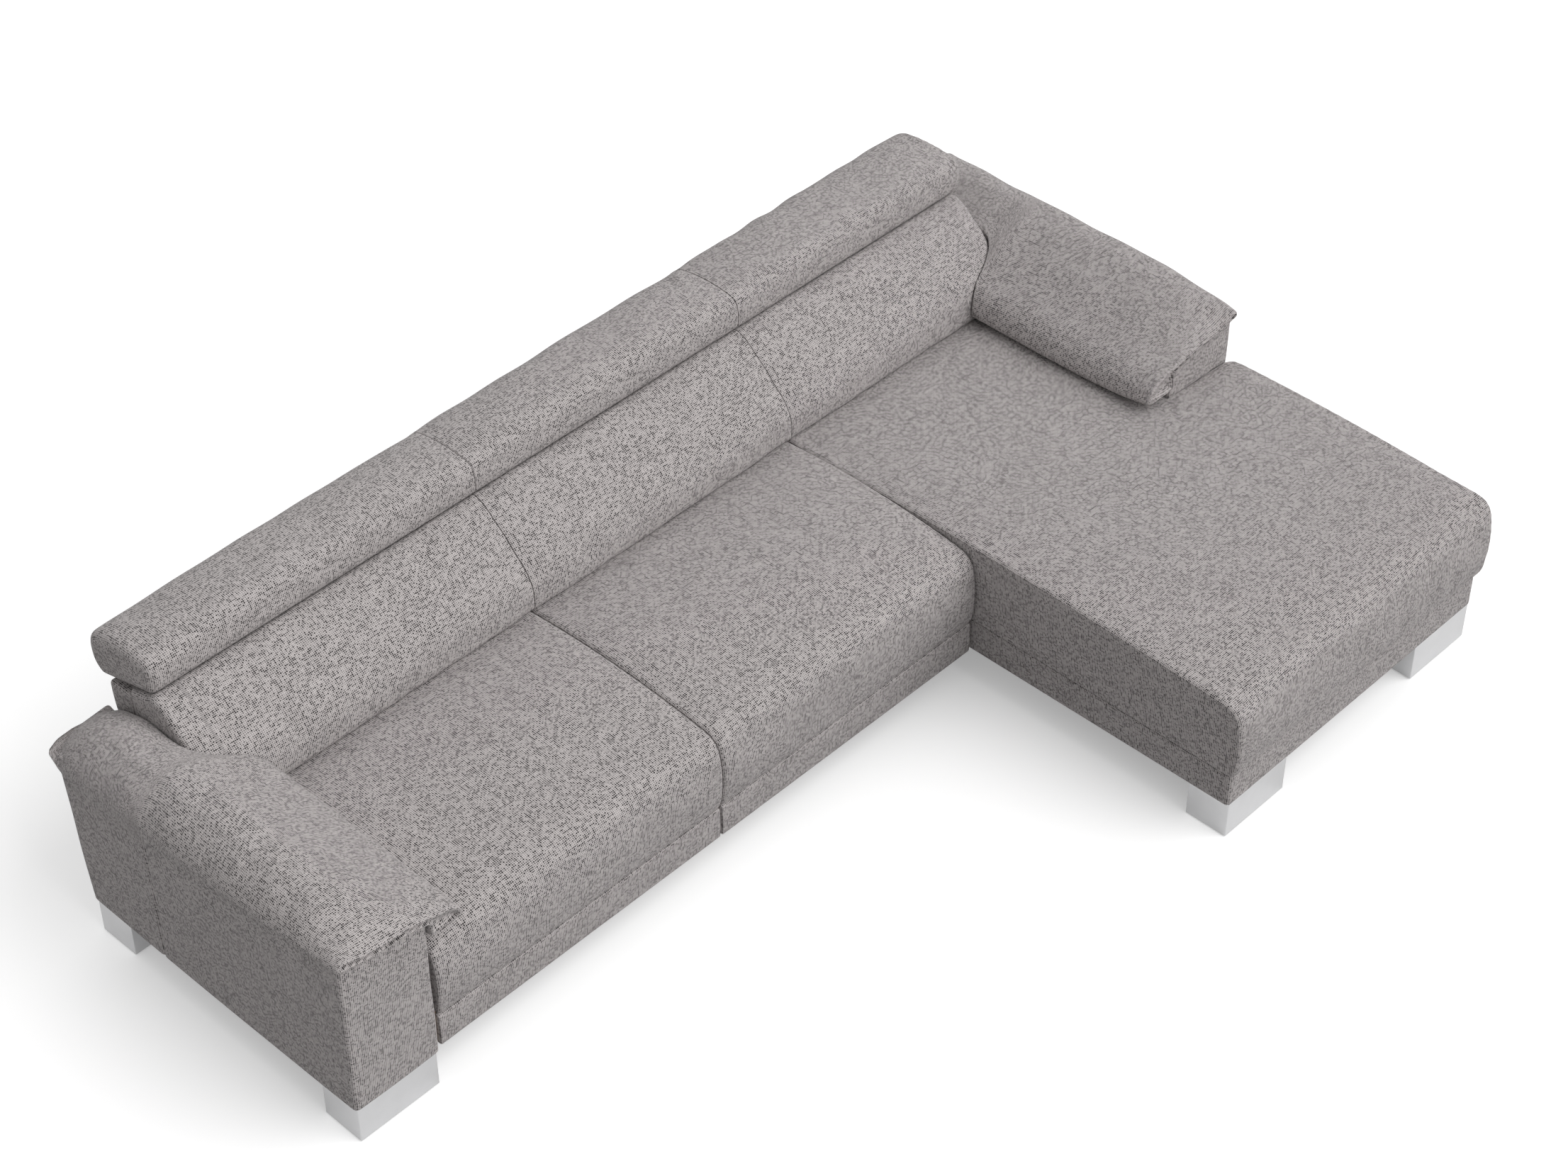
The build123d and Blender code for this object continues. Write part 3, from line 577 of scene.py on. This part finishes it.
def back_cushion(name, x0, x1, edges, seed):
    """Back swept along X: a crown of 6 mm over its width, sewn ends; it rises over the arms."""

    def section(x):
        return back_points(back_crown * crown(across(x, x0, x1)))

    grid, caps = swept(x0, x1, section, 190, back_soft, edges, bulges=(0.5, 0.5), step=7)
    over = np.abs(grid[..., 0]) > arm_in - 4
    grid[..., 2] = np.where(over, np.maximum(grid[..., 2], over_arms), grid[..., 2])

    def uneven(x, y, z):
        near = from_ends(x, x0, x1)
        amount = 1.4 * drift(x, 1.4 * z, 170, seed) * ease(near / 25)
        return amount + 0.7 * seam_puckers(near, y + z, 31, seed + 1)

    def shown(x, y, z):
        return (y < pin_y - 46) & (z > 430) & (y < lean(z, 100))

    solid = f"{name}_back_cushion"
    upholster(f"{name}_back", (grid, caps), "frame", solid, shown, uneven, most=4)


for name, seed in (("left", 41), ("middle", 53), ("chaise", 67)):
    low, high = corners(f"{name}_back_cushion")
    x0 = low[0] - (back_reach if name == "left" else back_joint)
    x1 = high[0] + (back_reach if name == "chaise" else back_joint)
    first = back_edges[-1] if name == "left" else back_joint_round
    last = back_edges[1] if name == "chaise" else back_joint_round
    back_cushion(name, x0, x1, (first, last), seed)


# Headrests

headrest_edge = 20  # rounding of the outer ends
headrest_joint, headrest_joint_round = 7.8, 2.6  # reach beyond the solid and rounding at a joint


def headrest_points(lift, full):
    """Headrest from the side, from its pin: nose round the pin, crowned top, round rear, sloping
    underside. Full is 0 at the left end of the sofa's back and 1 at its right end."""
    rear = 188 + 14 * full
    points = [
        (0, -nose, 8.2),
        (-nose, 0, 1.5),
        (2 - nose, 36, 8),
        (2, 62 + lift + 6 * full, 7),
        (rear - 44, 50 + lift + 17 * full, 9),
        (rear, 12 + 8 * full, 1),
        (rear - 1, -26, 9),
        (rear - 38, under_slope * (rear - 38) - nose),
    ]
    return [(pin_y + p[0], pin_z + p[1], *p[2:]) for p in points]


def headrest(name, x0, x1, edges, seed):
    """Headrest swept along X: a crown of 8 mm over its width, sewn ends, fuller towards the chaise."""

    def section(x):
        return headrest_points(8 * crown(across(x, x0, x1)), (x + back_end) / (2 * back_end))

    bulges = (0.15 * edges[0], 0.15 * edges[1])
    surface = swept(x0, x1, section, 144, soft=7, edges=edges, bulges=bulges, step=7)

    def uneven(x, y, z):
        near, above = from_ends(x, x0, x1), ease((z - pin_z) / 40)
        amount = 1.6 * above * drift(x, y, 150, seed) * ease(near / 25)
        return amount + 0.8 * above * seam_puckers(near, y + z, 28, seed + 1)

    def shown(x, y, z):
        return (z > pin_z + 6) & (y < pin_y + 170)

    solid = f"{name}_headrest_cushion"
    upholster(f"{name}_headrest_pad", surface, f"{name}_headrest", solid, shown, uneven, most=4)


for name, seed in (("left", 71), ("middle", 83), ("chaise", 97)):
    low, high = corners(f"{name}_headrest_cushion")
    x0 = low[0] - (10 if name == "left" else headrest_joint)
    x1 = high[0] + (20 if name == "chaise" else headrest_joint)
    first = headrest_edge if name == "left" else headrest_joint_round
    last = headrest_edge if name == "chaise" else headrest_joint_round
    headrest(name, x0, x1, (first, last), seed)


# Arms. Side is -1 on the left and 1 on the right; a depth is measured inwards from an arm's outer face.

roof_depths = [0, 64, 114, 164, 226]
roof_heights = {-1: [528, 513, 506, 503, 488], 1: [543, 527, 524, 518, 504]}
mean_roof = 505
pad_depths = np.array([-12, -8, 4, 26, 60, 110, 172, 202, 249, 285, 308])
pad_full = {
    -1: np.array([510, 525, 546, 570, 590, 592, 564, 545, 525, 507, 484]),
    1: np.array([572, 590, 603, 610, 606, 588, 560, 543, 524, 507, 484]),
}
pad_lip = {
    -1: np.array([545, 551, 556, 548, 537, 530, 525, 519, 506, 496, 482]),
    1: np.array([556, 562, 566, 556, 543, 540, 533, 529, 522, 512, 494]),
}
pad_thin = 8  # least thickness of a pad
arm_swell = {-1: 2, 1: 5}  # how far an outer face stands out
arm_seam = 515  # Y of the seam down the left arm's outer face


def roof(side, depth):
    """Top of an arm's body by the depth from its outer face: it falls inwards."""
    return np.interp(depth, roof_depths, roof_heights[side])


def arm_body(side, front, low, seed):
    """Arm cover: a round-cornered plan carried upwards, its rear leaning, its top falling inwards, its
    faces swelling by a few millimetres. The left one has a seam, a bell-shaped groove, in its outer face,
    and its top is eased down at the rear."""

    def section(place):
        rear = lean(low + place / 1000 * (mean_roof - low), 10)
        a, b = side * (arm_out + arm_swell[side]), side * arm_in
        return [(a, front, 1.5), (b, front, 1), (b, rear, 1.5), (a, rear, 2.5)]

    grid, caps = swept(0, 1000, section, 700, soft=8, edges=(20, 20), bulges=(0, 0), step=13, axis=2)
    k = grid[..., 2] / 1000
    depth = arm_out - np.abs(grid[..., 0])
    fall = 12 * ease((grid[..., 1] - 720) / 90) if side < 0 else 0
    grid[..., 2] = low + k * (roof(side, depth) - 2 - fall - low)
    swell = np.sin(np.pi * np.clip(k, 0, 1))
    amount = 2 * swell * drift(grid[..., 1], grid[..., 2], 240, seed)
    sewn = (np.abs(grid[..., 0]) > arm_out - 12) & (side < 0)
    amount -= np.where(sewn, 4.5 * bell(grid[..., 1] - arm_seam, 4.5), 0)
    outer = normals(grid)
    outer[..., 2] = 0
    return grid + amount[..., None] * outer, caps


def pad_points(side, thick, drape, drop, reach):
    """Pad across the arm, by its depth: outer hem, round shoulder, slope to the seat, inner side.
    Thick is 0 at the front lip and 1 behind it; drape is how far the hem hangs below the roof's edge,
    drop is how far the top has fallen, and reach is how far the pad comes inwards."""
    heights = pad_lip[side] + thick * (pad_full[side] - pad_lip[side]) - drop
    if drop:
        heights = np.maximum(heights, roof(side, 0) + 12 - drape + 0.1 * pad_depths)
    over = np.append(pad_depths[pad_depths < reach - 12], reach - 6)
    above = np.interp(over, pad_depths, heights)

    def underside(depth):
        return min(roof(side, depth) + 1, np.interp(depth, over, above) - pad_thin)

    hang = ease((reach - 232) / 50)
    wall = min(roof_depths[-1], reach - 24)
    under = underside(wall)
    foot = under + hang * (455 - 29 * thick - under)
    seat_side = reach + 5 * hang
    shape = list(zip(over, above))
    shape += [
        (seat_side, above[-1] - 22 * hang - 4, 1),
        (seat_side, max(foot + 9, above[-1] - 60), 1),
        (seat_side - 12, foot),
        (wall, foot),
        (wall, under),
    ]
    shape += [(max(d, -2), underside(d)) for d in roof_depths[::-1] if d < wall - 6]
    shape += [(-3, roof(side, 0) - drape), (-10, roof(side, 0) + 3 - drape, 1)]
    return [(side * (arm_out - q[0]), *q[1:]) for q in shape]


def back_face(z):
    """Y of the front of the back cushions at a height, at their fullest, less 3 mm."""
    line = trace(back_points(back_crown), 400, back_soft)
    line = line[line[:, 0] < lean(line[:, 1], 100)]
    line = line[np.argsort(line[:, 1])]
    return np.interp(z, line[:, 1], line[:, 0]) - 3


def arm_pad(name, side, front, rear, round_end, seed):
    """Pad swept along Y over an arm: a thin front lip that fills out by 1 - exp(-y / 100), its outer hem
    hanging lower to the rear. A rounded rear end falls by a quarter circle and is drawn in at its outer
    corner. Beside the back the pad follows the back's face and its rounded end."""
    length = rear - front
    hem_y = [front - 11, front + 60, front + 0.3 * length, front + 0.7 * length, rear - 88, rear - 33, rear]
    drapes = [0, 8, 30, 76, 76, 52, 24]
    inward_y = [front, 484, 492, 506, 522, 541, 560, 575]
    inward = [318 if side > 0 else 308, 312, 306, 286, 248, 202, 172, 162]

    def section(y):
        drop = 0
        if round_end:
            t = np.clip((y - rear + round_end) / round_end, 0, 1)
            drop = 0.74 * round_end * (1 - math.sqrt(1 - t * t))
        thick = 1 - math.exp(-(y - front + 11) / 100)
        return pad_points(side, thick, np.interp(y, hem_y, drapes), drop, np.interp(y, inward_y, inward))

    grid, caps = swept(
        front - 2, rear, section, 290, soft=5, edges=(6, 8), bulges=(-9, 0), step=6, axis=1
    )
    if round_end:
        depth = arm_out - np.abs(grid[..., 0])
        grid[..., 1] -= 10 * ease((30 - depth) / 40) * ease((grid[..., 1] - rear + 90) / 90)
    end, edge = back_end + back_reach, back_edges[side]
    inside = np.abs(grid[..., 0]) < end
    corner = np.clip(np.abs(grid[..., 0]) - end + edge, 0, edge)
    touch = back_face(grid[..., 2]) + edge - np.sqrt(edge**2 - corner**2)
    grid[..., 1] = np.where(inside, np.minimum(grid[..., 1], touch), grid[..., 1])

    def uneven(x, y, z):
        ends = ease((rear - y) / 40) * ease((y - front + 8) / 40)
        return 1.8 * drift(x, y, 160, seed) * ease((z - 490) / 40) * ends

    def shown(x, y, z):
        depth = arm_out - np.abs(x)
        return (depth > 8) & (depth < 296) & (z > roof(side, depth) + 20)

    surface, solid = (grid, caps), f"{name}_arm_pad"
    upholster(
        f"{name}_arm_pillow", surface, "frame", solid, shown, uneven, most=3, turned=True
    )


for name, side, front, low, rear, round_end, seed in (
    ("left", -1, -104, hem, 824, 150, 101),
    ("right", 1, -76, deck, 832, 0, 113),
):
    grid, caps = arm_body(side, front, low + 0.5, seed)
    dress(skin(f"{name}_arm", grid, caps, "frame", turned=True), f"{name}_arm_cover")
    arm_pad(name, side, front, rear, round_end, seed + 3)


# Plinths, rear panels and cheeks

plinth_thick, rear_thick, cheek_thick = 16, 15, 76


def strip(x0, x1, y0, y1, z0, z1):
    """Padded strip along X: a rectangle with eased corners, its front and underside bowed out."""

    def section(x):
        return [(y0, z0, 1), (y1, z0), (y1, z1), (y0, z1, 1.5)]

    return swept(x0, x1, section, 60, soft=4, edges=(4, 4), bulges=(1, 1), step=12)


def ring(low, high):
    """Plinth of the chaise: a strip's outline carried round a rectangle with eased corners, its rear
    leaning with the back."""
    plan = [(low[0], low[1]), (high[0], low[1]), (high[0], base_rear), (low[0], base_rear)]
    path = trace(plan, 640, 7)
    out = outward(path)
    outline = trace([(0, hem), (0, deck, 1), (-plinth_thick, deck), (-plinth_thick, hem)], 60, 4)
    grid = np.empty((len(path) + 1, len(outline), 3))
    closed = np.vstack([path, path[:1]])
    sides = np.vstack([out, out[:1]])
    grid[..., :2] = closed[:, None] + outline[None, :, :1] * sides[:, None]
    grid[..., 2] = outline[None, :, 1]
    back = ease((grid[..., 1] - base_rear + 60) / 50)
    grid[..., 1] += back * (grid[..., 2] - foot_height) * slope
    return grid, np.zeros(len(path), bool)


def leaning_panel(x0, x1, heights, thick, top_bow, count, soft, edge, step):
    """Padded panel along X: a flat outline between two heights, leaning with the back."""
    z0, z1 = heights

    def section(x):
        front, rear = (lean(z0, thick), lean(z1, thick)), (lean(z0, 0), lean(z1, 0))
        return [(front[0], z0), (rear[0], z0, 2), (rear[1], z1, top_bow), (front[1], z1)]

    return swept(x0, x1, section, count, soft, edges=(edge, edge), bulges=(1, 1), step=step)


for name in ("left", "middle"):
    low, high = corners(f"{name}_plinth")
    x0 = low[0] - (2 if name == "middle" else 0)
    grid, caps = strip(x0, high[0] + 2, low[1], low[1] + plinth_thick, hem, deck)
    dress(skin(f"{name}_plinth_cover", grid, caps, "frame"), f"{name}_plinth")

low, high = corners("chaise_plinth")
grid, caps = ring(low + np.array([1, 4, 0]), high + np.array([8, 0, 0]))
dress(skin("chaise_plinth_cover", grid, caps, "frame"), "chaise_plinth")

for name in ("left", "middle", "chaise"):
    low, high = corners(f"{name}_rear_panel")
    x0 = low[0] - (10 if name == "left" else 1)
    x1 = high[0] + (10 if name == "chaise" else 1)
    heights = (foot_height + 1, high[2] + 8)
    grid, caps = leaning_panel(x0, x1, heights, rear_thick, top_bow=0, count=220, soft=4, edge=5, step=10)
    dress(skin(f"{name}_rear_cover", grid, caps, "frame"), f"{name}_rear_panel")

for name in ("left", "right"):
    low, high = corners(f"{name}_back_cheek")
    heights = (low[2], high[2] + 6)
    grid, caps = leaning_panel(
        low[0], high[0], heights, cheek_thick, top_bow=2, count=90, soft=6, edge=8, step=6
    )
    dress(skin(f"{name}_cheek_cover", grid, caps, "frame"), f"{name}_back_cheek")


# Finishes of the CAD nodes that stay


def plain_finish(name, colour, rough, metal, scale, change, stretch=(1, 1, 1)):
    """Colour and bump vary with a noise on object coordinates, stretched along the grain. The colour runs
    from 1 - change to 1 + change times the given one."""
    material, shader, node, link = new_material(name, colour, rough, metal)
    place = node("ShaderNodeTexCoord").outputs["Object"]
    grain = node("ShaderNodeMapping", {"Vector": place, "Scale": stretch}).outputs[0]
    inputs = {"Vector": grain, "Scale": scale, "Detail": 4.0}
    noise = node("ShaderNodeTexNoise", inputs).outputs["Fac"]
    limits = {"From Min": 0.3, "From Max": 0.7, "To Min": 0.0, "To Max": 1.0}
    ramp = node("ShaderNodeMapRange", {"Value": noise, **limits}).outputs[0]
    darker = (*[c * (1 - change) for c in colour], 1)
    lighter = (*[min(1, c * (1 + change)) for c in colour], 1)
    link.new(blend(node, ramp, darker, lighter), shader.inputs["Base Color"])
    bump = node("ShaderNodeBump", {"Height": noise, "Strength": 0.15, "Distance": 0.0005})
    link.new(bump.outputs[0], shader.inputs["Normal"])
    return material


# colour, roughness, metal, scale of the grain, change of colour, stretch of the grain
finishes = {
    "wood": plain_finish("planed softwood", (0.56, 0.4, 0.24), 0.65, 0, 90, 0.25, (0.15, 1, 1)),
    "spring_steel": plain_finish("oiled wire", (0.12, 0.12, 0.13), 0.4, 0.8, 200, 0.2),
    "hinge_steel": plain_finish("zinc-plated sheet", (0.6, 0.61, 0.63), 0.38, 1, 120, 0.1),
    "chrome": plain_finish("polished chrome", (0.49, 0.49, 0.495), 0.12, 1, 30, 0.02),
    "black_plastic": plain_finish("moulded black", (0.03, 0.03, 0.032), 0.5, 0, 400, 0.2),
    "webbing": plain_finish("elastic strap", (0.07, 0.065, 0.06), 0.85, 0, 500, 0.4, (1, 1, 4)),
    "dust_cloth": plain_finish("thin black cloth", (0.03, 0.03, 0.03), 0.9, 0, 700, 0.3),
    "felt": plain_finish("pressed felt", (0.12, 0.115, 0.11), 0.95, 0, 900, 0.3),
    "fabric": fabric,
}
slots = {part["node"]: part["material_slot"] for part in frame["record"]["subparts"]}
for name, node in nodes.items():
    node.data.materials.clear()
    node.data.materials.append(finishes[slots[name]])


# Camera, light and floor

scene = bpy.context.scene
scene.view_settings.view_transform = "Standard"
camera = bpy.data.objects.new("camera", bpy.data.cameras.new("camera"))
scene.collection.objects.link(camera)
camera.location = (-3.88906, -3.63191, 5.25668)
camera.rotation_euler = (math.radians(90 - 41.552), 0, math.radians(-46.493))
camera.data.lens = 74.48
camera.data.sensor_width = 36
scene.camera = camera


def soft_sun(name, energy, angle, tilt, turn):
    """Wide sun lamp: its angle, and the tilt and turn of its beam, in degrees."""
    lamp = bpy.data.objects.new(name, bpy.data.lights.new(name, "SUN"))
    scene.collection.objects.link(lamp)
    lamp.data.energy = energy
    lamp.data.angle = math.radians(angle)
    lamp.rotation_euler = (math.radians(tilt), 0, math.radians(turn))


soft_sun("key", energy=1.8, angle=60, tilt=47, turn=28)
soft_sun("fill", energy=0.46, angle=150, tilt=45, turn=60)

white = (1, 1, 1, 1)
world_light, floor_glow = 0.51, 0.3


def seen_or_mirrored(node):
    """1 for rays from the camera and from glossy surfaces, 0 for the others."""
    paths = node("ShaderNodeLightPath").outputs
    return math_maker(node)("MAXIMUM", paths["Is Camera Ray"], paths["Is Glossy Ray"])


world = bpy.data.worlds.new("studio")
scene.world = world
world.use_nodes = True
tree = world.node_tree
node = node_maker(tree)
plain = tree.nodes["Background"]
plain.inputs["Color"].default_value = white
plain.inputs["Strength"].default_value = world_light
backdrop = node("ShaderNodeBackground", {"Color": white, "Strength": 1.0})
choices = {0: seen_or_mirrored(node), 1: plain.outputs[0], 2: backdrop.outputs[0]}
choose = node("ShaderNodeMixShader", choices)
tree.links.new(choose.outputs[0], tree.nodes["World Output"].inputs[0])

half = 30  # metres
floor_corners = [(-half, -half, 0), (half, -half, 0), (half, half, 0), (-half, half, 0)]
ground = bpy.data.meshes.new("floor")
ground.from_pydata(floor_corners, [], [(0, 1, 2, 3)])
floor = bpy.data.objects.new("floor", ground)
scene.collection.objects.link(floor)
lit, looks = 0.34, 0.9  # the floor's grey for the light it throws back, and as it is seen
pale, shader, node, link = new_material("pale floor", (lit, lit, lit), 0.9)
shader.inputs["Specular IOR Level"].default_value = 0.0
seen = seen_or_mirrored(node)
tone = blend(node, seen, (lit, lit, lit, 1), (looks, looks, looks, 1))
link.new(tone, shader.inputs["Base Color"])
shader.inputs["Emission Color"].default_value = white
link.new(math_maker(node)("MULTIPLY", seen, floor_glow), shader.inputs["Emission Strength"])
ground.materials.append(pale)
